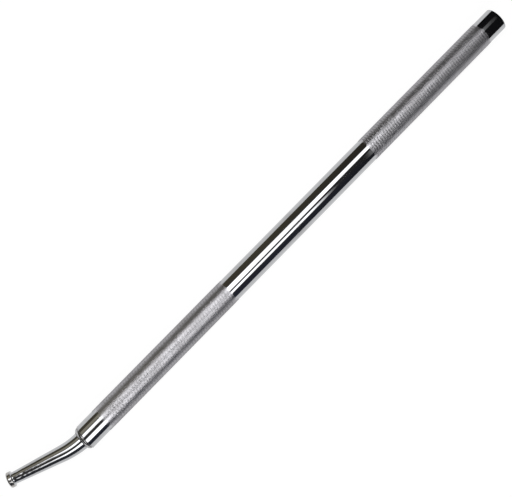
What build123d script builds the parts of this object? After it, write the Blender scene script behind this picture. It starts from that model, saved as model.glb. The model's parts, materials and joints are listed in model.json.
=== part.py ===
from build123d import *
import os
from math import asin, cos, degrees, radians, sin, sqrt

# A cargo winch bar: a steel tube handle with two knurled grips, closed by a plug at the
# butt, and a solid forged nose let into the other end, bent and drawn down to a flanged tip.
# Millimetres. X runs from the butt to the nose along the handle axis, Z is up.
# The bar lies at rest on its two grips and on the rim of the tip flange.
# The origin is the centre of the butt face, on the handle axis.

# ---- driving dimensions -------------------------------------------------------------------

# handle tube, nominal one inch schedule 40 steel pipe
TUBE_DIAMETER = 33.4
WALL = 3.4
HANDLE_LENGTH = 762.0
BUTT_EDGE_RADIUS = 1.4
SHOULDER_EDGE_RADIUS = 0.7

# knurled grips, and the plain stretches left beyond them at the two ends of the handle
BUTT_PLAIN = 29.0
UPPER_GRIP_LENGTH = 220.0
LOWER_GRIP_LENGTH = 230.0
SHOULDER_PLAIN = 29.0
KNURL_RAISE = 0.2

# forged nose; the bend begins a little inside the end of the tube
BEND_ANGLE = 19.1
BEND_RADIUS = 107.5
BEND_SETBACK = 2.0
NOSE_STRAIGHT = 75.0
SHANK_LENGTH = 65.0
SHANK_CHAMFER = 1.5
ROOT_STEP = 1.1
NECK_DIAMETER = 15.8

# mushroomed flange at the tip
FLANGE_DIAMETER = 20.9
FLANGE_THICKNESS = 6.4
FLANGE_FRONT_RADIUS = 2.2
FLANGE_BACK_RADIUS = 1.0
NECK_BLEND = 1.0
TIP_DOME = 0.9

# weld between the handle and the nose; both its edges lean with the bend
SHOULDER_LEAN = 7.0
TOE_LEAN = 4.5
WELD_LENGTH = 5.6
WELD_TOE = 0.4
WELD_HOLLOW = 0.35

# closed butt end: a pressed plug, with a weld in the groove between two chamfers
PLUG_LENGTH = 9.0
GROOVE = 1.2
BEAD_RECESS = 0.25

# ---- sizes that follow --------------------------------------------------------------------

TUBE_RADIUS = TUBE_DIAMETER / 2
BORE_RADIUS = TUBE_RADIUS - WALL
GRIP_RADIUS = TUBE_RADIUS + KNURL_RAISE
ROOT_RADIUS = BORE_RADIUS - ROOT_STEP
NECK_RADIUS = NECK_DIAMETER / 2
FLANGE_RADIUS = FLANGE_DIAMETER / 2

LOWER_GRIP_START = HANDLE_LENGTH - SHOULDER_PLAIN - LOWER_GRIP_LENGTH

# the nose is drawn in the bend plane: u along the handle, v towards the side it bends to
BEND_U = HANDLE_LENGTH - BEND_SETBACK
ARC_LENGTH = radians(BEND_ANGLE) * BEND_RADIUS
STRAIGHT_U = BEND_U + BEND_RADIUS * sin(radians(BEND_ANGLE))
STRAIGHT_V = BEND_RADIUS * (1 - cos(radians(BEND_ANGLE)))
FLANGE_BACK = NOSE_STRAIGHT - FLANGE_THICKNESS
TAPER = (ROOT_RADIUS - NECK_RADIUS) / (ARC_LENGTH + FLANGE_BACK)
BEND_SECTIONS = 4


def rest_roll():
    """Angle the bend plane is turned about the handle axis, so the flange lies on the floor.

    The front rounding of the flange is a ring of radius R - r about the nose, at a distance v
    from the handle axis. Turned by the roll, its lowest point is
    v sin(roll) + (R - r) sqrt(1 - (sin(bend) sin(roll))^2) + r under the handle axis. That
    depth has to equal the grip radius, which a few rounds of substitution settle.
    """
    ring_radius = FLANGE_RADIUS - FLANGE_FRONT_RADIUS
    ring_s = NOSE_STRAIGHT - FLANGE_FRONT_RADIUS
    ring_v = STRAIGHT_V + ring_s * sin(radians(BEND_ANGLE))
    roll = 0.0
    for _ in range(20):
        dip = sin(radians(BEND_ANGLE)) * sin(roll)
        rim_depth = ring_radius * sqrt(1 - dip**2) + FLANGE_FRONT_RADIUS
        roll = asin((GRIP_RADIUS - rim_depth) / ring_v)
    return degrees(roll)


ROLL = rest_roll()
BEND_PLANE = Plane(
    origin=(0, 0, 0),
    x_dir=(1, 0, 0),
    z_dir=(0, sin(radians(ROLL)), -cos(radians(ROLL))),
)


def plane_along(u, v, angle):
    """Plane whose normal runs in the bend plane, turned by an angle from the handle axis."""
    turn = radians(angle)
    return Plane(
        origin=BEND_PLANE.from_local_coords(Vector(u, v, 0)),
        x_dir=BEND_PLANE.z_dir,
        z_dir=BEND_PLANE.x_dir * cos(turn) + BEND_PLANE.y_dir * sin(turn),
    )


def bend_point(angle):
    """Point (u, v) of the nose centre line where it has turned by an angle round the bend."""
    u = BEND_U + BEND_RADIUS * sin(radians(angle))
    v = BEND_RADIUS * (1 - cos(radians(angle)))
    return u, v


BUTT = Plane(origin=(0, 0, 0), x_dir=(0, 1, 0), z_dir=(1, 0, 0))
SHOULDER = plane_along(HANDLE_LENGTH, 0, SHOULDER_LEAN)
NOSE_AXIS = plane_along(STRAIGHT_U, STRAIGHT_V, BEND_ANGLE)


def rod(radius, start, end):
    """Solid cylinder on the handle axis between two distances from the butt."""
    upright = Cylinder(radius, end - start, align=(Align.CENTER, Align.CENTER, Align.MIN))
    return BUTT.offset(start) * upright


def turned(plane, outline):
    """Solid of revolution: outline in (radius, height) turned about the normal of a plane."""
    side = Plane(origin=plane.origin, x_dir=plane.x_dir, z_dir=-plane.y_dir)
    return revolve(side * make_face(outline), Axis(plane.origin, plane.z_dir), 360)


def beyond_shoulder():
    """Block of space on the nose side of the leaning end of the tube."""
    size = 4 * TUBE_DIAMETER
    return SHOULDER * Box(size, size, size, align=(Align.CENTER, Align.CENTER, Align.MIN))


def grip_band(start, length):
    """Envelope of one knurled grip, standing a little proud of the tube."""
    band = rod(GRIP_RADIUS, start, start + length)
    return chamfer(band.edges().filter_by(GeomType.CIRCLE), KNURL_RAISE)


def handle_tube():
    """Tube with both grips, rounded at the butt and cut leaning at the shoulder."""
    outside = rod(TUBE_RADIUS, 0, HANDLE_LENGTH + TUBE_DIAMETER) - beyond_shoulder()
    outside = fillet(outside.edges().group_by(Axis.X)[0], BUTT_EDGE_RADIUS)
    outside = fillet(outside.edges().filter_by(GeomType.ELLIPSE), SHOULDER_EDGE_RADIUS)
    outside += grip_band(BUTT_PLAIN, UPPER_GRIP_LENGTH)
    outside += grip_band(LOWER_GRIP_START, LOWER_GRIP_LENGTH)
    return outside - rod(BORE_RADIUS, 0, HANDLE_LENGTH + TUBE_DIAMETER) - weld_groove()


def weld_groove():
    """Cone cut round the mouth of the butt bore, which the closing weld fills."""
    outline = Polyline((0, 0), (BORE_RADIUS + GROOVE, 0), (BORE_RADIUS, GROOVE), (0, GROOVE), close=True)
    return turned(BUTT, outline)


def shank():
    """Part of the nose that fills the tube, chamfered at its inner end."""
    body = rod(BORE_RADIUS, HANDLE_LENGTH - SHANK_LENGTH, HANDLE_LENGTH + TUBE_DIAMETER)
    inner_edge = body.edges().group_by(Axis.X)[0]
    return chamfer(inner_edge, SHANK_CHAMFER) - beyond_shoulder()


def bent_root():
    """Round bar from inside the shank, round the bend, thinning evenly along the arc."""
    sections = []
    for step in range(BEND_SECTIONS + 1):
        part_way = step / BEND_SECTIONS
        angle = BEND_ANGLE * part_way
        radius = ROOT_RADIUS - TAPER * ARC_LENGTH * part_way
        sections.append(plane_along(*bend_point(angle), angle) * Circle(radius))
    return rod(ROOT_RADIUS, HANDLE_LENGTH - SHANK_LENGTH / 2, BEND_U) + loft(sections)


def corner_arc(start, end, centre):
    """Rounding of a quarter turn between two points of an outline, about a centre."""
    reach = sqrt(0.5)
    across = start[0] + end[0] - 2 * centre[0]
    along = start[1] + end[1] - 2 * centre[1]
    middle = (centre[0] + reach * across, centre[1] + reach * along)
    return ThreePointArc(start, middle, end)


def dome_arc(edge_radius, base, height):
    """Arc of a sphere centred on the axis, from the edge of a dome to its crown."""
    sphere = (edge_radius**2 + height**2) / (2 * height)
    half_way = sqrt(sphere**2 - edge_radius**2 / 4) - (sphere - height)
    return ThreePointArc((edge_radius, base), (edge_radius / 2, base + half_way), (0, base + height))


def straight_nose():
    """Tapered shaft of the nose with the rounded flange and the domed tip."""
    start_radius = ROOT_RADIUS - TAPER * ARC_LENGTH
    neck_end = (NECK_RADIUS, FLANGE_BACK - NECK_BLEND)
    back_inner = (NECK_RADIUS + NECK_BLEND, FLANGE_BACK)
    back_outer = (FLANGE_RADIUS - FLANGE_BACK_RADIUS, FLANGE_BACK)
    rim_back = (FLANGE_RADIUS, FLANGE_BACK + FLANGE_BACK_RADIUS)
    rim_front = (FLANGE_RADIUS, NOSE_STRAIGHT - FLANGE_FRONT_RADIUS)
    dome_edge = (FLANGE_RADIUS - FLANGE_FRONT_RADIUS, NOSE_STRAIGHT)
    outline = [
        Line((0, 0), (start_radius, 0)),
        Line((start_radius, 0), neck_end),
        corner_arc(neck_end, back_inner, (back_inner[0], neck_end[1])),
        Line(back_inner, back_outer),
        corner_arc(back_outer, rim_back, (back_outer[0], rim_back[1])),
        Line(rim_back, rim_front),
        corner_arc(rim_front, dome_edge, (dome_edge[0], rim_front[1])),
        dome_arc(dome_edge[0], NOSE_STRAIGHT, TIP_DOME),
        Line((0, NOSE_STRAIGHT + TIP_DOME), (0, 0)),
    ]
    return turned(NOSE_AXIS, outline)


def nose_bar():
    """The whole forging: shank, bent root and straight tapered nose."""
    return shank() + bent_root() + straight_nose()


def nose_weld(nose):
    """Ring of weld from the end of the tube down to the nose, with a slightly hollow face.

    Three circles carry it: the edge of the tube, one half way, and the toe on the nose.
    """
    base_radius = TUBE_RADIUS - SHOULDER_EDGE_RADIUS
    toe_radius = ROOT_RADIUS + WELD_TOE
    middle_radius = (base_radius + toe_radius) / 2 - WELD_HOLLOW
    middle_lean = (SHOULDER_LEAN + TOE_LEAN) / 2
    toe_v = (WELD_LENGTH + BEND_SETBACK) ** 2 / (2 * BEND_RADIUS)
    middle = plane_along(HANDLE_LENGTH + WELD_LENGTH / 2, toe_v / 2, middle_lean)
    toe = plane_along(HANDLE_LENGTH + WELD_LENGTH, toe_v, TOE_LEAN)
    ring = loft([SHOULDER * Circle(base_radius), middle * Circle(middle_radius), toe * Circle(toe_radius)])
    return ring - nose


def end_plug():
    """Disc pressed flush into the butt of the tube, chamfered at both ends."""
    disc = rod(BORE_RADIUS, 0, PLUG_LENGTH)
    return chamfer(disc.edges().filter_by(GeomType.CIRCLE), GROOVE)


def end_weld():
    """Bead of weld in the groove between plug and tube, ground just below the face."""
    half_width = GROOVE - BEAD_RECESS
    outline = Polyline(
        (BORE_RADIUS - half_width, BEAD_RECESS),
        (BORE_RADIUS + half_width, BEAD_RECESS),
        (BORE_RADIUS, GROOVE),
        close=True,
    )
    return turned(BUTT, outline)


def main():
    os.makedirs("parts", exist_ok=True)
    nose = nose_bar()
    pieces = {
        "handle_tube": handle_tube(),
        "nose_bar": nose,
        "nose_weld": nose_weld(nose),
        "end_plug": end_plug(),
        "end_weld": end_weld(),
    }
    for name, shape in pieces.items():
        shape.label = name
        export_step(shape, f"parts/{name}.step")


if __name__ == "__main__":
    main()
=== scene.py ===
"""Looks of a cargo winch bar: a chromed tube with two knurled grips and a bent, flanged nose.

Metres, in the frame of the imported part: X runs from the butt to the nose along the handle
axis, Z is up, and the bar lies at rest on its grips and on the rim of the tip flange.
"""

import json
import logging
import math
from dataclasses import dataclass
from enum import Enum

import bpy
import numpy as np
from mathutils import Matrix, Vector

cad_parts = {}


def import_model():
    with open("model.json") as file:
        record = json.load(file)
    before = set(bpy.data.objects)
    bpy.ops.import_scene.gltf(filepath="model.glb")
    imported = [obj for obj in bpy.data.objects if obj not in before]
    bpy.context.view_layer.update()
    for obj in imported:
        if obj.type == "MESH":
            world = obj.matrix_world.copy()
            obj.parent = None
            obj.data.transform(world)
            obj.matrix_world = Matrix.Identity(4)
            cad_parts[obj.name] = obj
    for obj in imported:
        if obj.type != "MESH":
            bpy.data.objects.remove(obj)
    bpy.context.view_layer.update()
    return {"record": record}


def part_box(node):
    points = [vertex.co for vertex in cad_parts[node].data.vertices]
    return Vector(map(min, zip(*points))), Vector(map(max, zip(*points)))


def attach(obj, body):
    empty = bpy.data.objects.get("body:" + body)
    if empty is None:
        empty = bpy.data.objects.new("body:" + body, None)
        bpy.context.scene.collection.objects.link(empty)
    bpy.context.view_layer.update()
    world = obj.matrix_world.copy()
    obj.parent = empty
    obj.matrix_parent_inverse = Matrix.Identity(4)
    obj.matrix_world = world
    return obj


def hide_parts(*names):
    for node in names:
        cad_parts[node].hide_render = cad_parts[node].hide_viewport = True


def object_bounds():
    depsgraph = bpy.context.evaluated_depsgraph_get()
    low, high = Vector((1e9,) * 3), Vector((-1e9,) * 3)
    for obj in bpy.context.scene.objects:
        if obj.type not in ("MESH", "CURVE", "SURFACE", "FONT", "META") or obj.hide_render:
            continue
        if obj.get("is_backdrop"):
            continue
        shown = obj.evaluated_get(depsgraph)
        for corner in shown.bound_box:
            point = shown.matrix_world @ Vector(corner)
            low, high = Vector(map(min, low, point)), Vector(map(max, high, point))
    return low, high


LOG = logging.getLogger("winch_bar")
MM = 0.001
X_AXIS = np.array((1.0, 0.0, 0.0))
Triple = tuple[float, float, float]
Colour = Triple
Socket = bpy.types.NodeSocket

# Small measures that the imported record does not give.
SHOULDER_LEAN = 7.0  # degrees that the tube's end leans at the shoulder
TOE_LEAN = 4.5  # degrees that the weld's toe leans
SHOULDER_EDGE = 0.7 * MM  # rounding of the tube's outer edge at the shoulder
BEND_SETBACK = 2.0 * MM  # how far inside the tube the bend begins
BORE_RADIUS = 13.3 * MM  # radius of the tube's bore
BUTT_GROOVE = 1.2 * MM  # depth and width of the groove round the butt plug


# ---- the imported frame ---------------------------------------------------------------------


@dataclass(frozen=True)
class BarFrame:
    """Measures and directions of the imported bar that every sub-assembly hangs on.

    Attributes:
        tube_radius: outside radius of the plain handle.
        grip_radius: radius over the crests of the knurling.
        handle_length: from the butt face to the shoulder, on the axis.
        shoulder_lean: tangent of the lean of the tube's end at the shoulder.
        toe_lean: tangent of the lean of the weld's toe.
        side: unit vector square to the handle, towards the side that the nose bends to.
        bend_angle: angle between the handle and the straight of the nose.
        bend_start: distance from the butt at which the bend begins.
        bend_radius: radius of the centre line round the bend.
        flange_s: distance along the centre line, from bend_start, to the flange's rim.
        flange_radius: radius of the flange's rim.
    """

    tube_radius: float
    grip_radius: float
    handle_length: float
    shoulder_lean: float
    toe_lean: float
    side: np.ndarray
    bend_angle: float
    bend_start: float
    bend_radius: float
    flange_s: float
    flange_radius: float

    @classmethod
    def read(cls, record: dict) -> "BarFrame":
        """Works the bar's measures out from the record's mounts and the nodes' boxes.

        The nose's straight line cuts the handle axis at the corner of the bend; an arc that
        begins at bend_start and touches both lines has radius (corner - start) / tan(bend / 2).

        Args:
            record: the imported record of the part.

        Returns:
            The filled frame.
        """
        mounts = {mount["name"]: mount for mount in record["mounts"]}
        tip = np.array(mounts["tip_flange"]["pos_m"])
        along = np.array(mounts["tip_flange"]["axis"])
        along = along / np.linalg.norm(along)
        side = along - X_AXIS * along[0]
        side = side / np.linalg.norm(side)
        tube_radius = mounts["butt_end"]["dims"]["r_mm"] * MM
        low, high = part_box("handle_tube")
        shoulder_lean = math.tan(math.radians(SHOULDER_LEAN))
        handle_length = high[0] - (tube_radius - SHOULDER_EDGE) * shoulder_lean
        bend_angle = math.acos(along[0])
        corner = tip[0] - float(tip @ side) / math.tan(bend_angle)
        bend_start = handle_length - BEND_SETBACK
        bend_radius = (corner - bend_start) / math.tan(bend_angle / 2)
        straight_start = corner + (corner - bend_start) * along[0]
        flange_s = bend_radius * bend_angle + (tip[0] - straight_start) / along[0]
        return cls(
            tube_radius=tube_radius,
            grip_radius=min(high[1], high[2], -low[2]),
            handle_length=handle_length,
            shoulder_lean=shoulder_lean,
            toe_lean=math.tan(math.radians(TOE_LEAN)),
            side=side,
            bend_angle=bend_angle,
            bend_start=bend_start,
            bend_radius=bend_radius,
            flange_s=flange_s,
            flange_radius=mounts["tip_flange"]["dims"]["r_mm"] * MM,
        )

    @property
    def lift(self) -> np.ndarray:
        """Unit vector square to the plane of the bend."""
        return np.cross(X_AXIS, self.side)

    def rings(self, distance: np.ndarray, radius: np.ndarray, angle: np.ndarray) -> np.ndarray:
        """Sets points round the handle axis.

        A point is distance along X plus radius (cos(p) side + sin(p) lift) for the angle p.

        Args:
            distance: distances from the butt, one row per ring.
            radius: radii, one row per ring.
            angle: angles in one row.

        Returns:
            Points in an array of rings, points round the ring, and X, Y, Z.
        """
        spoke = np.cos(angle)[..., None] * self.side + np.sin(angle)[..., None] * self.lift
        return distance[..., None] * X_AXIS + radius[..., None] * spoke

    def centre_line(self, s: np.ndarray) -> tuple[np.ndarray, np.ndarray, np.ndarray]:
        """Follows the centre line: straight handle, circular bend, straight nose.

        With a = s / bend_radius held between 0 and the bend angle, the point is
        start + R sin(a) along X + R (1 - cos(a)) along side, plus whatever of s lies before or
        beyond the bend along the direction there, (cos a, sin a).

        Args:
            s: distances along the line from bend_start, negative inside the handle.

        Returns:
            Points, unit directions along the line, and unit directions square to it in the
            plane of the bend, each with one row for each distance.
        """
        turn = np.clip(s / self.bend_radius, 0.0, self.bend_angle)
        beyond = s - turn * self.bend_radius
        cos_a, sin_a = np.cos(turn)[:, None], np.sin(turn)[:, None]
        along = cos_a * X_AXIS + sin_a * self.side
        across = cos_a * self.side - sin_a * X_AXIS
        arc = self.bend_radius * (sin_a * X_AXIS + (1 - cos_a) * self.side)
        points = self.bend_start * X_AXIS + arc + beyond[:, None] * along
        return points, along, across


# ---- surfaces -----------------------------------------------------------------------------


class Ends(Enum):
    """How the two ends of a run of rings are finished."""

    JOINED = "last ring joins the first"
    CAPPED = "a fan of triangles closes each end"


def angles_round(count: int) -> np.ndarray:
    """Equal steps round a full turn in one row, the last one short of the first."""
    return np.arange(count)[None, :] * (2 * np.pi / count)


def rings_on_line(frame: BarFrame, s: np.ndarray, radius: np.ndarray) -> np.ndarray:
    """Carries circles along the centre line.

    A point is line(s) + radius (cos(p) across + sin(p) (along x across)) for the angle p.

    Args:
        frame: the bar's frame, which holds the centre line.
        s: distance of each ring along the line, from bend_start.
        radius: radius of each point, one row per ring.

    Returns:
        Points in an array of rings, points round the ring, and X, Y, Z.
    """
    centre, along, across = frame.centre_line(s)
    lift = np.cross(along, across)
    angle = angles_round(radius.shape[1])[..., None]
    spoke = np.cos(angle) * across[:, None, :] + np.sin(angle) * lift[:, None, :]
    return centre[:, None, :] + radius[:, :, None] * spoke


def skin_faces(
    rows: int, columns: int, ends: Ends, other_diagonal: np.ndarray | None
) -> tuple[np.ndarray, np.ndarray]:
    """Faces over a grid of rings, facing away from the line they go round.

    Args:
        rows: number of rings.
        columns: points round each ring.
        ends: whether the rings join up or are capped.
        other_diagonal: None for quads, or a true or false per quad that says along which
            diagonal it is split into triangles.

    Returns:
        Corner indices in one run, and the number of corners of each face.
    """
    spans = rows if ends is Ends.JOINED else rows - 1
    row = np.arange(spans)[:, None]
    column = np.arange(columns)[None, :]
    here, there = row * columns, ((row + 1) % rows) * columns
    right = (column + 1) % columns
    a, b = here + column, here + right
    c, d = there + right, there + column
    if other_diagonal is None:
        faces = np.stack((a, b, c, d), axis=-1).reshape(-1, 4)
    else:
        other = other_diagonal[..., None]
        first = np.where(other, np.stack((a, b, d), -1), np.stack((a, b, c), -1))
        second = np.where(other, np.stack((b, c, d), -1), np.stack((a, c, d), -1))
        faces = np.concatenate((first.reshape(-1, 3), second.reshape(-1, 3)))
    sizes = np.full(len(faces), faces.shape[1])
    corners = faces.ravel()
    if ends is Ends.CAPPED:
        first_pole, last_pole = rows * columns, rows * columns + 1
        start, turn = np.arange(columns), (np.arange(columns) + 1) % columns
        last = (rows - 1) * columns
        near = np.stack((np.full(columns, first_pole), turn, start), axis=-1)
        far = np.stack((np.full(columns, last_pole), last + start, last + turn), axis=-1)
        corners = np.concatenate((corners, near.ravel(), far.ravel()))
        sizes = np.concatenate((sizes, np.full(2 * columns, 3)))
    return corners, sizes


def skin(
    name: str,
    rings: np.ndarray,
    ends: Ends,
    other_diagonal: np.ndarray | None = None,
    masks: dict[str, np.ndarray] | None = None,
    sharp_angle: float = 40.0,
) -> bpy.types.Object:
    """Makes one closed mesh object from rings of points.

    Args:
        name: the piece's name.
        rings: points in an array of rings, points round the ring, and X, Y, Z.
        ends: whether the rings join up or are capped.
        other_diagonal: how the quads are split, or None to leave them whole.
        masks: named numbers per ring or per point, kept on the mesh for its material.
        sharp_angle: edges that turn more than this many degrees are shaded sharp.

    Returns:
        The new object, at the origin, unturned and unscaled.
    """
    rows, columns = rings.shape[:2]
    points = rings.reshape(-1, 3)
    if ends is Ends.CAPPED:
        poles = np.stack((rings[0].mean(axis=0), rings[-1].mean(axis=0)))
        points = np.concatenate((points, poles))
    corners, sizes = skin_faces(rows, columns, ends, other_diagonal)
    mesh = bpy.data.meshes.new(name)
    mesh.vertices.add(len(points))
    mesh.vertices.foreach_set("co", points.astype(np.float32).ravel())
    mesh.loops.add(len(corners))
    mesh.loops.foreach_set("vertex_index", corners.astype(np.int32))
    mesh.polygons.add(len(sizes))
    starts = np.concatenate(((0,), np.cumsum(sizes)[:-1]))
    mesh.polygons.foreach_set("loop_start", starts.astype(np.int32))
    mesh.update(calc_edges=True)
    mesh.polygons.foreach_set("use_smooth", np.ones(len(sizes), dtype=bool))
    mesh.set_sharp_from_angle(angle=math.radians(sharp_angle))
    for mask_name, values in (masks or {}).items():
        per_point = np.broadcast_to(values.reshape(rows, -1), (rows, columns)).ravel()
        if ends is Ends.CAPPED:
            per_point = np.concatenate((per_point, (per_point[0], per_point[-1])))
        layer = mesh.attributes.new(mask_name, "FLOAT", "POINT")
        layer.data.foreach_set("value", per_point.astype(np.float32))
    piece = bpy.data.objects.new(name, mesh)
    bpy.context.scene.collection.objects.link(piece)
    return piece


def sheet(name: str, points: np.ndarray, glow: np.ndarray | None = None) -> bpy.types.Object:
    """Makes an open sheet of quads from a grid of points.

    Args:
        name: the sheet's name.
        points: points in an array of rows, columns, and X, Y, Z.
        glow: a number per point kept on the mesh as "glow", or None.

    Returns:
        The new object, at the origin, unturned and unscaled.
    """
    rows, columns = points.shape[:2]
    cell = (np.arange(rows - 1)[:, None] * columns + np.arange(columns - 1)[None, :]).ravel()
    faces = np.stack((cell, cell + columns, cell + columns + 1, cell + 1), axis=-1)
    mesh = bpy.data.meshes.new(name)
    mesh.from_pydata(points.reshape(-1, 3).tolist(), [], faces.tolist())
    if glow is not None:
        layer = mesh.attributes.new("glow", "FLOAT", "POINT")
        layer.data.foreach_set("value", glow.astype(np.float32).ravel())
    piece = bpy.data.objects.new(name, mesh)
    bpy.context.scene.collection.objects.link(piece)
    return piece


def smooth_step(value: np.ndarray, start: float, end: float) -> np.ndarray:
    """Eases from 0 at start to 1 at end, as 3 t^2 - 2 t^3."""
    t = np.clip((value - start) / (end - start), 0.0, 1.0)
    return t * t * (3 - 2 * t)


def run(start: float, end: float, spacing: float) -> np.ndarray:
    """Even steps from start up to, and without, end."""
    steps = max(1, int(math.ceil(abs(end - start) / spacing)))
    return start + (end - start) * np.arange(steps) / steps


def profile(*stretches: tuple) -> tuple[np.ndarray, np.ndarray]:
    """Joins stretches of an outline, each a pair of distances and radii, into one pair.

    Args:
        *stretches: pairs of numbers or arrays; a single number is repeated to match its pair.

    Returns:
        All the distances, and all the radii.
    """
    pairs = [np.broadcast_arrays(*map(np.atleast_1d, stretch)) for stretch in stretches]
    return np.concatenate([pair[0] for pair in pairs]), np.concatenate([pair[1] for pair in pairs])


def rounding(
    centre: tuple[float, float], radius: float, start: float, end: float, steps: int = 8
) -> tuple[np.ndarray, np.ndarray]:
    """Stretch of outline round a circle, both ends counted.

    Args:
        centre: distance and radius of the circle's middle.
        radius: radius of the circle.
        start: first angle in degrees, 0 pointing along the line and 90 away from it.
        end: last angle in degrees.
        steps: divisions of the arc.

    Returns:
        The stretch, as distances and radii.
    """
    angle = np.radians(np.linspace(start, end, steps + 1))
    return centre[0] + radius * np.cos(angle), centre[1] + radius * np.sin(angle)


# ---- finishes -----------------------------------------------------------------------------


@dataclass(frozen=True)
class Grain:
    """A noise: repeats per metre along X, Y and Z, its detail, and the range it is cut to."""

    scale: Triple
    detail: float
    low: float = 0.0
    high: float = 1.0
    distortion: float = 0.0


HAZE = Grain((22.0, 40.0, 40.0), 5.0, 0.50, 0.72, 0.4)
SMEAR = Grain((9.0, 90.0, 90.0), 6.0, 0.55, 0.75, 1.2)
SCRATCH = Grain((70.0, 1500.0, 1500.0), 1.0, distortion=0.6)
SCRATCHED = Grain((30.0, 60.0, 60.0), 2.0, 0.56, 0.66)
SPECK = Grain((900.0, 900.0, 900.0), 1.0, 0.73, 0.79)
GRIT = Grain((700.0, 700.0, 700.0), 4.0, 0.40, 0.62)
WAVE = Grain((28.0, 34.0, 34.0), 1.0)
GRIME = Grain((40.0, 60.0, 60.0), 5.0, 0.42, 0.66)
FROST = Grain((2600.0, 2600.0, 2600.0), 3.0)
TABLE = Grain((240.0, 240.0, 240.0), 4.0)


class Pattern:
    """A small hand for wiring shader nodes."""

    def __init__(self, name: str) -> None:
        """Starts an empty material with the given name."""
        self.material = bpy.data.materials.new(name)
        self.material.use_nodes = True
        self.tree = self.material.node_tree
        self.tree.nodes.clear()

    def add(self, kind: str, **settings: object) -> bpy.types.Node:
        """Adds a node.

        Args:
            kind: the node's type name.
            **settings: its properties, or the values of the sockets named with an "in_".

        Returns:
            The new node.
        """
        node = self.tree.nodes.new(kind)
        for key, value in settings.items():
            if key.startswith("in_"):
                node.inputs[key[3:].replace("_", " ")].default_value = value
            else:
                setattr(node, key, value)
        return node

    def link(self, source: Socket, target: Socket) -> None:
        """Joins an output to an input."""
        self.tree.links.new(source, target)

    def place(self, scale: Triple, turn: Triple = (0.0, 0.0, 0.0)) -> Socket:
        """Gives object coordinates, stretched and turned.

        Args:
            scale: repeats per metre along X, Y and Z.
            turn: turn about X, Y and Z in radians.

        Returns:
            The coordinates' socket.
        """
        coordinate = self.add("ShaderNodeTexCoord")
        mapping = self.add("ShaderNodeMapping", in_Scale=scale, in_Rotation=turn)
        self.link(coordinate.outputs["Object"], mapping.inputs["Vector"])
        return mapping.outputs["Vector"]

    def noise(self, grain: Grain, turn: Triple = (0.0, 0.0, 0.0)) -> Socket:
        """Soft noise of the given grain, about 0.3 to 0.7, turned about X, Y and Z."""
        where = self.place(grain.scale, turn)
        node = self.add("ShaderNodeTexNoise", in_Scale=1.0, in_Detail=grain.detail)
        node.inputs["Distortion"].default_value = grain.distortion
        self.link(where, node.inputs["Vector"])
        return node.outputs["Fac"]

    def patches(self, grain: Grain, turn: Triple = (0.0, 0.0, 0.0)) -> Socket:
        """Noise of the given grain, cut to its own range of low and high."""
        return self.spread(self.noise(grain, turn), grain.low, grain.high)

    def mask(self, name: str) -> Socket:
        """The numbers kept on the mesh under a name."""
        return self.add("ShaderNodeAttribute", attribute_name=name).outputs["Fac"]

    def spread(
        self, source: Socket, low: float, high: float, to_low: float = 0.0, to_high: float = 1.0
    ) -> Socket:
        """Stretches a range of values onto another, held at both ends."""
        node = self.add("ShaderNodeMapRange", in_From_Min=low, in_From_Max=high)
        node.inputs["To Min"].default_value = to_low
        node.inputs["To Max"].default_value = to_high
        self.link(source, node.inputs["Value"])
        return node.outputs["Result"]

    def maths(self, operation: str, first: Socket | float, second: Socket | float) -> Socket:
        """Works two values together, each a socket or a plain number."""
        node = self.add("ShaderNodeMath", operation=operation)
        for index, value in enumerate((first, second)):
            if isinstance(value, Socket):
                self.link(value, node.inputs[index])
            else:
                node.inputs[index].default_value = value
        return node.outputs["Value"]

    def raised(self, base: Socket, amount: Socket, share: float) -> Socket:
        """Adds a share of an amount to a base."""
        return self.maths("ADD", base, self.maths("MULTIPLY", amount, share))

    def blend(self, amount: Socket, low: Socket | Colour, high: Socket | Colour) -> Socket:
        """Mixes two colours, each a socket or a plain colour."""
        node = self.add("ShaderNodeMix", data_type="RGBA")
        self.link(amount, node.inputs["Factor"])
        for name, value in (("A", low), ("B", high)):
            socket = next(i for i in node.inputs if i.name == name and i.type == "RGBA")
            if isinstance(value, Socket):
                self.link(value, socket)
            else:
                socket.default_value = (*value, 1.0)
        return next(o for o in node.outputs if o.type == "RGBA")

    def bump(self, height: Socket, depth: float, under: Socket | None = None) -> Socket:
        """Raises the surface by a height times a depth in metres, on top of another bump."""
        node = self.add("ShaderNodeBump", in_Strength=1.0, in_Distance=depth)
        self.link(height, node.inputs["Height"])
        if under is not None:
            self.link(under, node.inputs["Normal"])
        return node.outputs["Normal"]

    def finish(
        self,
        colour: Socket,
        roughness: Socket,
        normal: Socket,
        **settings: object,
    ) -> bpy.types.Material:
        """Closes the material with one surface shader.

        Args:
            colour: base colour.
            roughness: roughness.
            normal: bumped normal.
            **settings: values of the shader's other sockets, named as for add.

        Returns:
            The finished material.
        """
        shader = self.add("ShaderNodeBsdfPrincipled", **settings)
        self.link(colour, shader.inputs["Base Color"])
        self.link(roughness, shader.inputs["Roughness"])
        self.link(normal, shader.inputs["Normal"])
        output = self.add("ShaderNodeOutputMaterial")
        self.link(shader.outputs["BSDF"], output.inputs["Surface"])
        return self.material

    def shine(self, colour: Socket, strength: float) -> bpy.types.Material:
        """Closes the material as a plain source of light."""
        emission = self.add("ShaderNodeEmission", in_Strength=strength)
        self.link(colour, emission.inputs["Color"])
        output = self.add("ShaderNodeOutputMaterial")
        self.link(emission.outputs["Emission"], output.inputs["Surface"])
        return self.material


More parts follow.
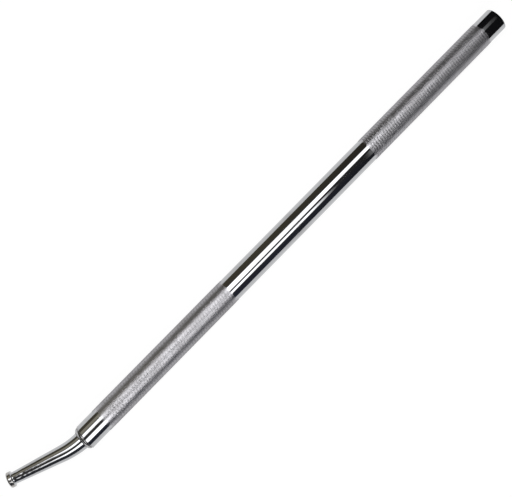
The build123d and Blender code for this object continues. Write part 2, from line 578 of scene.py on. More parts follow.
@dataclass(frozen=True)
class ChromeFinish:
    """Bright chrome plate over polished steel, with the marks of making and handling.

    Attributes:
        name: the material's name.
        bright: colour of clean plate.
        dull: colour where the plate is hazed.
        roughness: roughness of clean plate.
        haze: roughness added in hazed patches.
        line_depth: depth of the polishing lines, in metres.
        line_scale: polishing lines' repeats per metre along X, Y and Z.
        line_turn: turn of the polishing lines about Z, in radians.
        wave_depth: depth of the slow waves left by grinding, in metres.
        scratch_width: half the width of a scratch, as a range of its noise.
        scratch_depth: depth of the scratches, in metres.
        speck: colour of the small pits.
        wear_and_shade: whether the mesh carries a mask of wear and painted shade.
        worn_and_shaded: colour where the mask is full: worn steel by default, near-black where it
            paints shade.
    """

    name: str
    bright: Colour = (0.455, 0.461, 0.474)
    dull: Colour = (0.370, 0.370, 0.380)
    roughness: float = 0.045
    haze: float = 0.07
    line_depth: float = 0.0000011
    line_scale: Triple = (5200.0, 60.0, 60.0)
    line_turn: float = 0.0
    wave_depth: float = 0.00005
    scratch_width: float = 0.006
    scratch_depth: float = 0.0000012
    speck: Colour = (0.20, 0.18, 0.15)
    wear_and_shade: bool = False
    worn_and_shaded: Colour = (0.40, 0.37, 0.33)

    def make(self) -> bpy.types.Material:
        """Wires the finish.

        Haze is low noise held to its upper part; scratches are the narrow middle of a
        stretched noise; wear and painted shade are the mesh's own mask broken up by fine noise.

        Returns:
            The material.
        """
        pattern = Pattern(self.name)
        turn = (0.0, 0.0, self.line_turn)
        haze = pattern.patches(HAZE)
        smear = pattern.patches(SMEAR, turn)
        lines = pattern.noise(Grain(self.line_scale, 2.0), turn)
        off_middle = pattern.maths("SUBTRACT", pattern.noise(SCRATCH, turn), 0.5)
        off_middle = pattern.maths("ABSOLUTE", off_middle, 0.0)
        scratch = pattern.spread(off_middle, self.scratch_width, 0.0)
        scratch = pattern.maths("MULTIPLY", scratch, pattern.patches(SCRATCHED))
        speck = pattern.patches(SPECK)
        colour = pattern.blend(haze, self.bright, self.dull)
        colour = pattern.blend(pattern.maths("MULTIPLY", speck, 0.5), colour, self.speck)
        roughness = pattern.spread(haze, 0.0, 1.0, self.roughness, self.roughness + self.haze)
        roughness = pattern.raised(roughness, smear, 0.03)
        roughness = pattern.raised(roughness, scratch, 0.12)
        roughness = pattern.raised(roughness, speck, 0.25)
        # The mask blends in its colour: worn steel on the nose; near-black on the handle, weld and
        # bead, painting shade in creases and darkening the butt's edge.
        if self.wear_and_shade:
            worn_and_shaded = pattern.maths("MULTIPLY", pattern.mask("wear_and_shade"), pattern.patches(GRIT))
            colour = pattern.blend(worn_and_shaded, colour, self.worn_and_shaded)
            roughness = pattern.raised(roughness, worn_and_shaded, 0.22)
        normal = pattern.bump(pattern.noise(WAVE), self.wave_depth)
        normal = pattern.bump(lines, self.line_depth, normal)
        normal = pattern.bump(scratch, self.scratch_depth, normal)
        return pattern.finish(colour, roughness, normal, in_Metallic=1.0)


@dataclass(frozen=True)
class KnurlFinish:
    """Chrome over knurling: crests rubbed bright and painted lighter as a highlight; grooves dull
    and dusty, painted dark as shade.

    Attributes:
        name: the material's name.
        crest: colour of the rubbed crests, lighter than the plate as a painted highlight.
        flank: colour of the sloping sides.
        groove: painted shade, a near-black colour at the bottom of the grooves.
        plain: colour where the knurling has faded out.
        edge: tint of the shine at grazing angles.
        dirt_and_shade: colour of dirt settled in the grooves, which also paints shade there.
        groove_roughness: roughness added at the bottom of the grooves.
        crest_roughness: roughness added on the crests.
        plain_roughness: roughness where the knurling has faded out.
        frost_depth: depth of the fine frosting, in metres.
    """

    name: str
    crest: Colour = (0.63, 0.625, 0.65)
    flank: Colour = (0.415, 0.41, 0.43)
    groove: Colour = (0.10, 0.096, 0.094)
    plain: Colour = (0.455, 0.461, 0.474)
    edge: Colour = (0.45, 0.45, 0.45)
    dirt_and_shade: Colour = (0.12, 0.11, 0.10)
    groove_roughness: float = 0.34
    crest_roughness: float = 0.24
    plain_roughness: float = 0.045
    frost_depth: float = 0.000004

    def make(self) -> bpy.types.Material:
        """Wires the finish on the mesh's own masks: crest, 0 groove to 1 crest, and cut."""
        pattern = Pattern(self.name)
        height = pattern.mask("crest")
        grime = pattern.patches(GRIME)
        grain = pattern.noise(FROST)
        # Painted shade and highlight: by the height mask the colour runs from near-black in the
        # grooves to lighter than the plate on the crests.
        colour = pattern.blend(pattern.spread(height, 0.0, 0.30), self.groove, self.flank)
        colour = pattern.blend(pattern.spread(height, 0.75, 1.0), colour, self.crest)
        cut = pattern.spread(pattern.mask("cut"), 0.0, 0.4)
        colour = pattern.blend(cut, self.plain, colour)
        # Dirt and painted shade: patchy dark colour laid into the grooves.
        dirt_and_shade = pattern.maths("MULTIPLY", grime, pattern.spread(height, 0.7, 0.0))
        colour = pattern.blend(pattern.maths("MULTIPLY", dirt_and_shade, 0.5), colour, self.dirt_and_shade)
        roughness = pattern.spread(height, 0.0, 1.0, self.groove_roughness, self.crest_roughness)
        roughness = pattern.raised(roughness, grime, 0.08)
        roughness = pattern.maths("MULTIPLY", roughness, cut)
        roughness = pattern.maths("ADD", roughness, self.plain_roughness)
        normal = pattern.bump(pattern.maths("MULTIPLY", grain, cut), self.frost_depth)
        tint = (*self.edge, 1.0)
        return pattern.finish(colour, roughness, normal, in_Metallic=1.0, in_Specular_Tint=tint)


@dataclass(frozen=True)
class FloorFinish:
    """A pale lit tabletop: matt white with a faint grain, giving some light of its own.

    Attributes:
        name: the material's name.
        pale: colour of the surface.
        glow: strength of its own light.
    """

    name: str
    pale: Colour = (0.12, 0.12, 0.12)
    glow: float = 0.93

    def make(self) -> bpy.types.Material:
        """Wires the tabletop."""
        pattern = Pattern(self.name)
        grain = pattern.noise(TABLE)
        shade = tuple(0.985 * channel for channel in self.pale)
        colour = pattern.blend(pattern.spread(grain, 0.4, 0.6), shade, self.pale)
        return pattern.finish(
            colour,
            pattern.spread(grain, 0.3, 0.7, 0.75, 0.9),
            pattern.bump(grain, 0.00001),
            in_Emission_Color=(1.0, 1.0, 1.0, 1.0),
            in_Emission_Strength=self.glow,
            in_Specular_IOR_Level=0.2,
        )


# ---- sub-assemblies -----------------------------------------------------------------------


def settle(piece: bpy.types.Object, material: bpy.types.Material, slot: str, *nodes: str) -> None:
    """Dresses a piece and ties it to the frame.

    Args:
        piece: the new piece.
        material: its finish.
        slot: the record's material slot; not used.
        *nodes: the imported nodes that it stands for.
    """
    piece.data.materials.append(material)
    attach(piece, "root")
    if nodes:
        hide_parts(*nodes)
    LOG.info("%s: %d faces", piece.name, len(piece.data.polygons))


@dataclass
class Handle:
    """The steel tube, with a shallow seat under each knurled grip.

    Attributes:
        frame: the bar's frame.
        butt_plain: plain length at the butt.
        upper_grip: length of the grip near the butt.
        lower_grip: length of the grip near the nose.
        shoulder_plain: plain length at the shoulder.
        butt_edge: rounding of the outer edge at the butt.
        seat_depth: depth of the seats under the grips.
        spacing: distance between rings along the plain lengths.
        butt_darkening: share and length of the near-black darkening at the butt's edge.
        shoulder_shade: share and length of the painted shade, a dark line at the shoulder's edge.
        around: points round the tube.
    """

    frame: BarFrame
    butt_plain: float = 29.0 * MM
    upper_grip: float = 220.0 * MM
    lower_grip: float = 230.0 * MM
    shoulder_plain: float = 29.0 * MM
    butt_edge: float = 1.4 * MM
    seat_depth: float = 0.7 * MM
    spacing: float = 3.0 * MM
    butt_darkening: tuple[float, float] = (0.4, 2.5 * MM)
    shoulder_shade: tuple[float, float] = (1.6, 1.0 * MM)
    around: int = 144

    @property
    def upper_span(self) -> tuple[float, float]:
        """Where the grip near the butt begins and ends."""
        return self.butt_plain, self.butt_plain + self.upper_grip

    @property
    def lower_span(self) -> tuple[float, float]:
        """Where the grip near the nose begins and ends."""
        end = self.frame.handle_length - self.shoulder_plain
        return end - self.lower_grip, end

    def outline(self) -> tuple[np.ndarray, np.ndarray]:
        """Closed outline of the tube's wall: out along the outside and back along the bore.

        Returns:
            Distances from the butt, and radii.
        """
        radius = self.frame.tube_radius
        seat = radius - self.seat_depth
        length = self.frame.handle_length
        stretches = [rounding((self.butt_edge, radius - self.butt_edge), self.butt_edge, 180, 90)]
        last = self.butt_edge
        for start, end in (self.upper_span, self.lower_span):
            stretches.append((run(last + self.spacing, start, self.spacing), radius))
            stretches.append(((start, start, end, end), (radius, seat, seat, radius)))
            last = end
        edge = length - SHOULDER_EDGE
        stretches.append((run(last + self.spacing, edge, self.spacing), radius))
        stretches.append(rounding((edge, radius - SHOULDER_EDGE), SHOULDER_EDGE, 90, 0))
        stretches.append(((length, BUTT_GROOVE), BORE_RADIUS))
        stretches.append((0.0, BORE_RADIUS + BUTT_GROOVE))
        return profile(*stretches)

    def build(self) -> bpy.types.Object:
        """Builds the tube.

        Each outline point is turned round the axis; near the shoulder it is then slid along
        X by -lean v, v being its height towards the side of the bend, eased in over the last
        plain stretch, so that the end of the tube leans with the bend.

        Returns:
            The tube.
        """
        distance, radius = self.outline()
        distance, radius = distance[:, None], radius[:, None]
        angle = angles_round(self.around)
        end = self.frame.handle_length
        rings = self.frame.rings(distance, radius, angle)
        ease = smooth_step(distance, end - self.shoulder_plain, end)
        rings[..., 0] -= self.frame.shoulder_lean * ease * radius * np.cos(angle)
        # The mask darkens the butt's edge and paints shade as a dark line at the shoulder's edge.
        butt_share, butt_length = self.butt_darkening
        shoulder_share, shoulder_length = self.shoulder_shade
        wear_and_shade = butt_share * (1 - smooth_step(distance, 0.0, butt_length))
        wear_and_shade = wear_and_shade + shoulder_share * smooth_step(distance, end - shoulder_length, end)
        return skin("handle_shell", rings, Ends.JOINED, masks={"wear_and_shade": wear_and_shade})


@dataclass
class Grip:
    """One knurled grip: a thin sleeve whose outside is cut into low rounded diamonds.

    Attributes:
        frame: the bar's frame.
        name: the piece's name.
        span: where the grip begins and ends.
        fade: lengths over which the knurling comes in evenly at its start and out at its end.
        starts: diamonds round the grip.
        slant: angle of the grooves from the axis, in degrees.
        chatter_pitch: distance along X between the tool's chatter marks.
        chatter_starts: starts of the marks' two helices.
        depth: depth of the grooves.
        half_way: height half way from groove to crest, as a share of the depth.
        jitter: most that a crest falls short, as a share of the depth.
        chatter: share by which the chatter makes the grooves shallower and deeper.
        main_helix: share of the chatter that the first of its helices has.
        seat_depth: depth of the sleeve's inside under the plain tube.
        sharp_angle: edges that turn more than this many degrees are shaded sharp.
    """

    frame: BarFrame
    name: str
    span: tuple[float, float]
    fade: tuple[float, float]
    starts: int = 58
    slant: float = 30.5
    chatter_pitch: float = 4.2 * MM
    chatter_starts: int = 7
    depth: float = 0.24 * MM
    half_way: float = 0.62
    jitter: float = 0.32
    chatter: float = 0.34
    main_helix: float = 0.65
    seat_depth: float = 0.68 * MM
    sharp_angle: float = 25.0

    def build(self) -> bpy.types.Object:
        """Builds the sleeve.

        Rows stand a quarter diamond apart along X and columns a quarter apart round the axis.
        With a and b the distances along and round in half diamonds, the grooves are the lines
        where a + b or a - b is an even number, and a crest stands where a + b is odd. A point
        half way up from groove to crest is a little over half the height, because the crests
        are rounded. A seeded draw lowers each point above a groove a little by its own amount.
        The radius is that of the fading crest less depth times bite times (1 - height).

        Returns:
            The sleeve.
        """
        start, end = self.span
        columns = 4 * self.starts
        round_step = 2 * np.pi * self.frame.grip_radius / columns
        along_step = round_step / math.tan(math.radians(self.slant))
        rows = int(round((end - start) / along_step)) + 1
        distance = np.linspace(start, end, rows)[:, None]
        i, j = np.arange(rows)[:, None], np.arange(columns)[None, :]
        plus, minus = (i + j) % 4, (i - j) % 4
        to_groove = np.minimum(np.minimum(plus, 4 - plus), np.minimum(minus, 4 - minus))
        height = np.array((0.0, self.half_way, 1.0))[to_groove]
        luck = np.random.default_rng(self.starts + rows - 1).uniform(-1.0, 1.0, height.shape)
        height = height - self.jitter * (0.5 + 0.5 * luck) * (to_groove > 0)
        fade_in = np.clip((distance - start) / self.fade[0], 0.0, 1.0)
        fade_out = np.clip((end - distance) / self.fade[1], 0.0, 1.0)
        strength = fade_in * fade_out
        angle = angles_round(columns)
        bite = strength * self.bite(distance, angle)
        raised = self.frame.grip_radius - self.frame.tube_radius
        radius = self.frame.tube_radius + raised * strength - self.depth * bite * (1 - height)
        inside = np.full((2, columns), self.frame.tube_radius - self.seat_depth)
        radius = np.concatenate((radius, inside))
        distance = np.concatenate((distance, ((end,), (start,))))
        rings = self.frame.rings(distance, radius, angle)
        crest = np.concatenate((1 - bite * (1 - height), np.zeros((2, columns))))
        cut = np.concatenate((strength, np.ones((2, 1))))
        masks = {"crest": crest, "cut": cut}
        split = self.split(rows + 2, columns)
        return skin(self.name, rings, Ends.JOINED, split, masks, self.sharp_angle)

    def bite(self, distance: np.ndarray, angle: np.ndarray) -> np.ndarray:
        """Share of the full depth that the tool cut, as its chatter left it.

        Two crossing helices of chatter, each cos(2 pi x / pitch +- starts p) at the angle p,
        are added to 1 and scaled so that the deepest cut is the full depth.

        Args:
            distance: distances from the butt, one row per ring.
            angle: angles round the axis in one row.

        Returns:
            The shares, one per point.
        """
        along = distance * (2 * np.pi / self.chatter_pitch)
        turn = self.chatter_starts * angle
        other_helix = 1 - self.main_helix
        waves = self.main_helix * np.cos(along + turn) + other_helix * np.cos(along - turn)
        return (1 + self.chatter * waves) / (1 + self.chatter)

    def split(self, rows: int, columns: int) -> np.ndarray:
        """Along which diagonal each small quad is split, so that its edge is level.

        A quad has one corner on a crest or on a crossing of grooves; the split is the diagonal
        that passes a crest's corner by and runs into a crossing's.

        Args:
            rows: rows of quads.
            columns: quads round the sleeve.

        Returns:
            A true or false per quad, as skin_faces takes it.
        """
        i, j = np.arange(rows)[:, None], np.arange(columns)[None, :]
        even_i, even_j = i + i % 2, j + j % 2
        crest_corner = ((even_i + even_j) // 2) % 2 == 1
        slopes_up = (i + j) % 2 == 1
        return np.where(crest_corner, ~slopes_up, slopes_up)


@dataclass
class Nose:
    """The forged nose: bent root, even taper, narrow neck, rounded flange and domed tip.

    Attributes:
        frame: the bar's frame.
        root_radius: radius where the bend begins.
        neck_radius: radius just before the flange.
        flange_thickness: thickness of the flange on the axis.
        front_edge: rounding of the flange's front edge.
        back_edge: rounding of the flange's back edge.
        neck_blend: hollow rounding between neck and flange.
        dome: height of the domed end.
        hidden: length carried on inside the tube.
        hidden_step: distance between rings inside the tube.
        shaft_step: distance between rings along the taper.
        land_gap: gap between the back rounding and the first ring of the rim's land.
        land_step: distance between rings on the rim's land.
        slow_depth: depth of the slow waves in the surface.
        short_depth: depth of the short waves.
        root_share: share of the slow waves that the root has.
        around: points round the nose.
    """

    frame: BarFrame
    root_radius: float = 12.2 * MM
    neck_radius: float = 7.9 * MM
    flange_thickness: float = 6.4 * MM
    front_edge: float = 2.2 * MM
    back_edge: float = 1.0 * MM
    neck_blend: float = 1.0 * MM
    dome: float = 0.9 * MM
    hidden: float = 10.0 * MM
    hidden_step: float = 2.5 * MM
    shaft_step: float = 0.9 * MM
    land_gap: float = 0.5 * MM
    land_step: float = 0.7 * MM
    slow_depth: float = 0.020 * MM
    short_depth: float = 0.045 * MM
    root_share: float = 0.35
    around: int = 144

    def outline(self) -> tuple[np.ndarray, np.ndarray]:
        """Outline of the nose from inside the tube to the crown of the dome.

        The end plane stands half the rim's land and the front rounding beyond the middle of
        the flange's rim. The dome is part of a sphere of radius (e^2 + h^2) / 2h, e being its
        edge and h its height.

        Returns:
            Distances along the centre line from the start of the bend, and radii.
        """
        land = self.flange_thickness - self.front_edge - self.back_edge
        end = self.frame.flange_s + land / 2 + self.front_edge
        back = end - self.flange_thickness
        rim = self.frame.flange_radius
        blend_radius = self.neck_radius + self.neck_blend
        shaft = run(0.0, back - self.neck_blend, self.shaft_step)
        taper = (self.root_radius - self.neck_radius) / (back - self.neck_blend)
        inside = run(-self.hidden, 0.0, self.hidden_step)
        edge = rim - self.front_edge
        sphere = (edge**2 + self.dome**2) / (2 * self.dome)
        dome_radius = edge * (1 - np.arange(1, 24) / 23.5)
        dome_s = end + np.sqrt(sphere**2 - dome_radius**2) - (sphere - self.dome)
        return profile(
            (inside, self.root_radius),
            (shaft, self.root_radius - taper * shaft),
            rounding((back - self.neck_blend, blend_radius), self.neck_blend, -90, 0, 6),
            rounding((back + self.back_edge, rim - self.back_edge), self.back_edge, 180, 90, 7),
            (run(back + self.back_edge + self.land_gap, end - self.front_edge, self.land_step), rim),
            rounding((end - self.front_edge, edge), self.front_edge, 90, 0, 12),
            (dome_s, dome_radius),
        )

    def unevenness(self, s: np.ndarray, radius: np.ndarray) -> np.ndarray:
        """How far hammer and grinder left the surface below its true round.

        A sum of slow waves along and round the nose, each size (1 + cos(2 pi s / length + m p
        + c)), growing towards the tip, with shorter ones over the last third; only ever inwards.

        Args:
            s: distances along the centre line.
            radius: true radii.

        Returns:
            Depths below the true radius, one per point.
        """
        angle = angles_round(self.around)
        place = s[:, None]
        towards_tip = smooth_step(place, 0.01, self.frame.flange_s)
        slow_waves = ((0.9, 41.0 * MM, 1, 0.4), (0.8, 27.0 * MM, -2, 2.1), (0.5, 17.0 * MM, 3, 4.0))
        short_waves = ((0.6, 13.1 * MM, 4, 1.0), (0.5, 7.9 * MM, -5, 2.6), (0.3, 5.7 * MM, 6, 5.1))
        slow, short = (
            sum(
                size * (1 + np.cos(2 * np.pi / length * place + m * angle + c))
                for size, length, m, c in waves
            )
            for waves in (slow_waves, short_waves)
        )
        depth = self.slow_depth * (self.root_share + towards_tip) * slow
        depth = depth + self.short_depth * towards_tip**3 * short
        return depth * np.clip(radius[:, None] / self.neck_radius, 0.0, 1.0)

    def build(self) -> bpy.types.Object:
        """Builds the nose, its outline carried along the centre line."""
        s, radius = self.outline()
        rings = rings_on_line(self.frame, s, radius[:, None] - self.unevenness(s, radius))
        end = s.max()
        rim = smooth_step(radius, self.neck_radius + 0.6 * self.neck_blend, self.frame.flange_radius)
        wear_and_shade = rim * smooth_step(s, end - 0.010, end - 0.005)
        return skin("nose", rings, Ends.CAPPED, masks={"wear_and_shade": wear_and_shade})


@dataclass
class ShoulderWeld:
    """The ring of weld between the tube and the nose, ground and plated over.

    Attributes:
        frame: the bar's frame.
        base_radius: radius at the tube.
        toe_radius: radius at the nose.
        length: length along the handle.
        crown: power of the fall in radius from base to toe; 1 would be a straight cone.
        ripple_depth: depth of what is left of the weld's ripple.
        swell_depth: depth of its slow swell round the ring.
        ground_depth: how far it was ground down half way along.
        seam_depth: depth of the crease at each edge.
        seam_width: width of the crease, as a share of the length.
        seam_shade: strength of the painted shade darkening the creases.
        inside_radius: radius of the hidden inside.
        around: points round the ring.
    """

    frame: BarFrame
    base_radius: float = 16.0 * MM
    toe_radius: float = 12.6 * MM
    length: float = 5.6 * MM
    crown: float = 2.2
    ripple_depth: float = 0.02 * MM
    swell_depth: float = 0.09 * MM
    ground_depth: float = 0.12 * MM
    seam_depth: float = 0.60 * MM
    seam_width: float = 0.20
    seam_shade: float = 2.5
    inside_radius: float = 11.6 * MM
    around: int = 192

    def build(self) -> bpy.types.Object:
        """Builds the ring.

        For t from 0 at the tube to 1 at the toe, the radius falls from base to toe as t to the
        power of the crown, and each circle leans by between the two leans. The ripple is a sum
        of cos(n p + c t + d) and the swell a sum of cos(m p + d), both strongest half way and
        ground away at both edges, where a crease exp(-(distance / width)^2) is cut in.

        Returns:
            The ring.
        """
        t = np.linspace(0.0, 1.0, 34)[:, None]
        radius = self.base_radius + (self.toe_radius - self.base_radius) * t**self.crown
        t = np.concatenate((t, ((1.0,), (0.0,))))
        radius = np.concatenate((radius, np.full((2, 1), self.inside_radius)))
        angle = angles_round(self.around)
        ripple = np.cos(46 * angle + 7 * t) + 0.6 * np.cos(31 * angle - 4 * t + 1.0)
        swell = 0.8 * np.cos(3 * angle + 0.7) + 0.6 * np.cos(5 * angle + 2.0)
        left = self.ripple_depth * ripple + self.swell_depth * swell - self.ground_depth
        seam = np.exp(-((t / self.seam_width) ** 2)) + np.exp(-(((1 - t) / self.seam_width) ** 2))
        radius = radius + np.sin(np.pi * t) * left - self.seam_depth * seam
        lean = self.frame.shoulder_lean + (self.frame.toe_lean - self.frame.shoulder_lean) * t
        rings = self.frame.rings(self.frame.handle_length + self.length * t, radius, angle)
        toe_v = (self.length + BEND_SETBACK) ** 2 / (2 * self.frame.bend_radius)
        rings += (toe_v * t)[..., None] * self.frame.side
        rings[..., 0] -= lean * radius * np.cos(angle)
        # Painted shade: the creases at both edges are darkened towards the near-black mask colour.
        masks = {"wear_and_shade": self.seam_shade * seam}
        return skin("shoulder_weld", rings, Ends.JOINED, masks=masks)


@dataclass
class ButtClosure:
    """The plug that closes the butt and the bead that seals it.

    Attributes:
        frame: the bar's frame.
        length: length of the plug.
        recess: how far the bead stands below the face.
        centre_mark: radius of the dimple in the middle of the plug's face.
        mark_pitch: distance between the facing marks on the plug.
        mark_depth: depth of the facing marks.
        crown_height: height of the bead between its ripples.
        ripple_height: height of the ripples above that.
        ripples: number of ripples round the bead.
        around: points round both.
    """

    frame: BarFrame
    length: float = 9.0 * MM
    recess: float = 0.25 * MM
    centre_mark: float = 0.3 * MM
    mark_pitch: float = 1.05 * MM
    mark_depth: float = 0.012 * MM
    crown_height: float = 0.10 * MM
    ripple_height: float = 0.05 * MM
    ripples: int = 36
    around: int = 144

    def build_plug(self) -> bpy.types.Object:
        """Builds the plug: a chamfered disc whose face carries shallow facing marks.

        At the radius r the face lies depth (1 + cos(2 pi r / pitch)) / 2 in, fading at the
        middle and the edge as |sin(pi r / edge)|.

        Returns:
            The plug.
        """
        edge = BORE_RADIUS - BUTT_GROOVE
        face = np.linspace(self.centre_mark, edge, 34)
        wave = 0.5 + 0.5 * np.cos(face / self.mark_pitch * 2 * np.pi)
        marks = self.mark_depth * wave * np.abs(np.sin(np.pi * face / edge))
        distance, radius = profile(
            (marks, face),
            ((BUTT_GROOVE, self.length - BUTT_GROOVE), BORE_RADIUS),
            (self.length, edge * np.array((1.0, 0.6, 0.1))),
        )
        angle = angles_round(self.around)
        rings = self.frame.rings(distance[:, None], radius[:, None], angle)
        return skin("butt_plug", rings, Ends.CAPPED)

    def build_bead(self) -> bpy.types.Object:
        """Builds the bead: a crowned strip over the groove, with the ripples of its run.

        For t from -1 at its inner edge to 1 at its outer, the strip stands (1 - t^2) times the
        crown and the ripple high, the ripple being (1 + cos(ripples p + 3 t^2)) / 2.

        Returns:
            The bead.
        """
        half_width = BUTT_GROOVE - self.recess
        t = np.linspace(-1.0, 1.0, 13)[:, None]
        angle = angles_round(self.around)
        ripple = 0.5 + 0.5 * np.cos(self.ripples * angle + 3 * np.abs(t) ** 2)
        crown = (1 - t**2) * (self.crown_height + self.ripple_height * ripple)
        distance = np.concatenate((self.recess - crown, np.full((1, self.around), BUTT_GROOVE)))
        radius = np.concatenate((BORE_RADIUS + half_width * t, ((BORE_RADIUS,),)))
        rings = self.frame.rings(distance, radius, angle)
        # Painted shade: the bead's edges, where it meets tube and plug, are darkened through the
        # mask.
        seam = np.concatenate((np.abs(t) ** 6, ((1.0,),)))
        return skin("butt_bead", rings, Ends.JOINED, masks={"wear_and_shade": seam}, sharp_angle=50.0)


# ---- studio -------------------------------------------------------------------------------


@dataclass(frozen=True)
class SoftBox:
    """A soft light hung along the bar, bowed round it, whose face fades towards its rim.

    Attributes:
        name: the light's name.
        outline: stations of X in metres, and the two edges there in degrees from overhead,
            positive towards +Y.
        radiance: brightness of its face.
        rim: width in degrees over which the long edges fade.
        end_rim: lengths over which the two ends fade, in metres.
        distance: how far it hangs from the handle axis.
        colour: colour of its light.
    """

    name: str
    outline: tuple[tuple[float, float, float], ...]
    radiance: float
    rim: float = 6.0
    end_rim: tuple[float, float] = (0.10, 0.10)
    distance: float = 1.45
    colour: Colour = (1.0, 1.0, 1.0)

    def hang(self) -> bpy.types.Object:
        """Hangs the light.

        The face is (x, D sin a, D cos a), with the angle a running between the outline's edges.

        Returns:
            The light.
        """
        stations = np.array(self.outline)
        x = np.linspace(stations[0, 0], stations[-1, 0], 61)[:, None]
        first = np.interp(x, stations[:, 0], stations[:, 1])
        last = np.interp(x, stations[:, 0], stations[:, 2])
        share = np.linspace(0.0, 1.0, 41)[None, :]
        degrees = first + (last - first) * share
        angle = np.radians(degrees)
        y, z = self.distance * np.sin(angle), self.distance * np.cos(angle)
        points = np.stack((x + 0 * angle, y, z), axis=-1)
        to_edge = np.minimum(degrees - first, last - degrees)
        glow = smooth_step(to_edge, 0.0, self.rim)
        glow = glow * smooth_step(x, x[0, 0], x[0, 0] + self.end_rim[0])
        glow = glow * (1 - smooth_step(x, x[-1, 0] - self.end_rim[1], x[-1, 0]))
        lamp = sheet(self.name, points, glow)
        pattern = Pattern(self.name)
        face = pattern.blend(pattern.mask("glow"), (0.0, 0.0, 0.0), self.colour)
        lamp.data.materials.append(pattern.shine(face, self.radiance))
        lamp.visible_camera = False
        lamp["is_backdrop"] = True
        return lamp


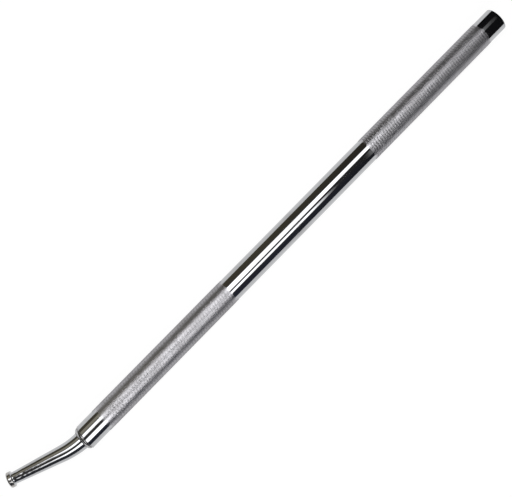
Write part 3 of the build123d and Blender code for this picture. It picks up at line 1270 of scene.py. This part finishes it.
@dataclass
class Studio:
    """Lit tabletop, two long soft boxes with a gap between them, two cards and a dark room.

    Attributes:
        frame: the bar's frame.
        floor_half: half the side of the tabletop.
        room_radius: radius of the dark shell that the chrome mirrors above the tabletop.
        warm_side: faint light of the shell towards -Y.
        cool_side: faint light of the shell towards +Y.
        dark_end: faint light of the shell beyond the butt.
        camera_place: where the camera stands.
        camera_right: direction of the picture's right.
        camera_back: direction from the picture towards the camera.
        lens: focal length in millimetres on a sensor 36 wide.
    """

    frame: BarFrame
    floor_half: float = 4.0
    room_radius: float = 3.6
    warm_side: Colour = (0.09, 0.08, 0.055)
    cool_side: Colour = (0.030, 0.034, 0.050)
    dark_end: Colour = (0.010, 0.010, 0.011)
    camera_place: Triple = (0.6094, -0.0004, 1.5380)
    camera_right: Triple = (-0.6975, 0.7131, 0.0703)
    camera_back: Triple = (0.1087, 0.0083, 0.9940)
    lens: float = 84.9305

    def lay_floor(self) -> bpy.types.Object:
        """Lays the tabletop under the bar's lowest point."""
        low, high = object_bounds()
        middle = (low[0] + high[0]) / 2
        steps = np.linspace(-self.floor_half, self.floor_half, 9)
        x, y = np.meshgrid(middle + steps, steps, indexing="ij")
        floor = sheet("tabletop", np.stack((x, y, np.full_like(x, low[2])), axis=-1))
        floor.data.materials.append(FloorFinish("tabletop_white").make())
        floor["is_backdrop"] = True
        return floor

    def build_room(self) -> bpy.types.Object:
        """Builds the dark shell, seen only in reflections.

        The shell is a half sphere standing on the tabletop: R (sin(u) cos(p), sin(u) sin(p),
        cos(u)). Its faint light is brownish on one side of the bar and bluish on the other.

        Returns:
            The shell.
        """
        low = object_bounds()[0]
        u = np.linspace(0.0, math.pi / 2, 25)[:, None]
        p = np.linspace(0.0, 2 * math.pi, 49)[None, :]
        shell = np.stack((np.sin(u) * np.cos(p), np.sin(u) * np.sin(p), np.cos(u) + 0 * p), axis=-1)
        middle = np.array((self.frame.handle_length / 2, 0.0, low[2]))
        room = sheet("dark_room", middle + self.room_radius * shell)
        pattern = Pattern("dark_room")
        place = pattern.add("ShaderNodeSeparateXYZ")
        pattern.link(pattern.place((1.0, 1.0, 1.0)), place.inputs["Vector"])
        across = pattern.spread(place.outputs["Y"], -self.room_radius, self.room_radius)
        along = pattern.spread(place.outputs["X"], -1.0, 0.0)
        colour = pattern.blend(across, self.warm_side, self.cool_side)
        colour = pattern.blend(along, self.dark_end, colour)
        room.data.materials.append(pattern.shine(colour, 1.0))
        room.visible_camera = False
        room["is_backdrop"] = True
        return room

    def open_sky(self) -> None:
        """Makes the world behind everything as pale as the tabletop."""
        world = bpy.data.worlds.new("pale_surround")
        world.use_nodes = True
        background = world.node_tree.nodes["Background"]
        background.inputs["Color"].default_value = (1.0, 1.0, 1.0, 1.0)
        background.inputs["Strength"].default_value = 1.0
        bpy.context.scene.world = world

    def set_camera(self) -> bpy.types.Object:
        """Sets the camera over the bar, turned so that the bar crosses the frame.

        It stands over the bar near the lower grip and looks a few degrees off straight down,
        towards the middle of the bar.

        Returns:
            The camera.
        """
        right, back = Vector(self.camera_right), Vector(self.camera_back)
        right = (right - back * right.dot(back)).normalized()
        back = back.normalized()
        camera_data = bpy.data.cameras.new("camera")
        camera_data.sensor_fit = "HORIZONTAL"
        camera_data.sensor_width = 36.0
        camera_data.lens = self.lens
        camera_data.clip_end = 50.0
        camera = bpy.data.objects.new("camera", camera_data)
        turn = Matrix((right, back.cross(right), back)).transposed().to_4x4()
        camera.matrix_world = Matrix.Translation(self.camera_place) @ turn
        bpy.context.scene.collection.objects.link(camera)
        bpy.context.scene.camera = camera
        return camera

    def build(self) -> None:
        """Builds the whole studio; the soft boxes' outlines are as SoftBox gives them."""
        self.lay_floor()
        self.build_room()
        self.open_sky()
        left = (
            (-0.58, -30.0, 4.5),
            (-0.10, -28.5, 3.0),
            (0.37, -34.0, 9.0),
            (0.87, -31.5, -3.5),
            (1.30, -31.5, -3.5),
        )
        right = ((0.03, 16.5, 40.0), (0.40, 16.5, 39.0), (0.87, 17.5, 55.0), (1.80, 17.5, 38.0))
        card = ((0.45, -62.0, -34.0), (1.60, -62.0, -34.0))
        dim = ((-0.48, 12.0, 62.0), (-0.06, 12.0, 62.0))
        boxes = (
            SoftBox("box_left", left, 3.0, end_rim=(0.36, 0.22)),
            SoftBox("box_right", right, 3.0, end_rim=(0.12, 0.27)),
            SoftBox("card", card, 0.40, 3.0, (0.35, 0.30), 1.50, (1.0, 0.93, 0.74)),
            SoftBox("dim_card", dim, 0.50, 8.0, (0.06, 0.06)),
        )
        for box in boxes:
            box.hang()
        self.set_camera()
        scene = bpy.context.scene
        scene.view_settings.view_transform = "Standard"
        scene.view_settings.look = "None"


# ---- the whole bar ------------------------------------------------------------------------


def main() -> None:
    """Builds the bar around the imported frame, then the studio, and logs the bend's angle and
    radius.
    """
    logging.basicConfig(level=logging.INFO, format="%(name)s %(message)s")
    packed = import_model()
    frame = BarFrame.read(packed["record"])
    bend = math.degrees(frame.bend_angle)
    LOG.info("bend %.2f degrees, radius %.1f mm", bend, frame.bend_radius / MM)

    # The handle's near-black mask colour paints shade at the shoulder and darkens the butt's edge.
    plate = ChromeFinish("handle_chrome", wear_and_shade=True, worn_and_shaded=(0.08, 0.07, 0.065)).make()
    nose_plate = ChromeFinish(
        "nose_chrome",
        roughness=0.055,
        line_scale=(120.0, 2400.0, 2400.0),
        line_turn=frame.bend_angle,
        wear_and_shade=True,
    ).make()
    # The weld's near-black mask colour paints shade in its creases and at the bead's edges.
    weld_plate = ChromeFinish(
        "weld_chrome",
        bright=(0.40, 0.40, 0.41),
        roughness=0.15,
        haze=0.10,
        line_scale=(1800.0, 90.0, 90.0),
        wear_and_shade=True,
        worn_and_shaded=(0.05, 0.045, 0.04),
    ).make()
    plug_plate = ChromeFinish(
        "plug_chrome", roughness=0.12, haze=0.08, line_scale=(900.0, 900.0, 900.0)
    ).make()
    grip_plate = KnurlFinish("grip_chrome").make()

    handle = Handle(frame)
    settle(handle.build(), plate, "handle_chrome", "handle_tube")
    upper = Grip(
        frame,
        "upper_grip",
        handle.upper_span,
        (4.0 * MM, 5.0 * MM),
        chatter_pitch=3.85 * MM,
        chatter_starts=3,
        chatter=0.60,
        depth=0.32 * MM,
    )
    lower = Grip(frame, "lower_grip", handle.lower_span, (8.0 * MM, 18.0 * MM))
    settle(upper.build(), grip_plate, "grip_chrome")
    settle(lower.build(), grip_plate, "grip_chrome")
    settle(Nose(frame).build(), nose_plate, "nose_chrome", "nose_bar")
    settle(ShoulderWeld(frame).build(), weld_plate, "weld_chrome", "nose_weld")
    closure = ButtClosure(frame)
    settle(closure.build_plug(), plug_plate, "plug_chrome", "end_plug")
    settle(closure.build_bead(), weld_plate, "weld_chrome", "end_weld")

    Studio(frame).build()


if __name__ == "__main__":
    main()
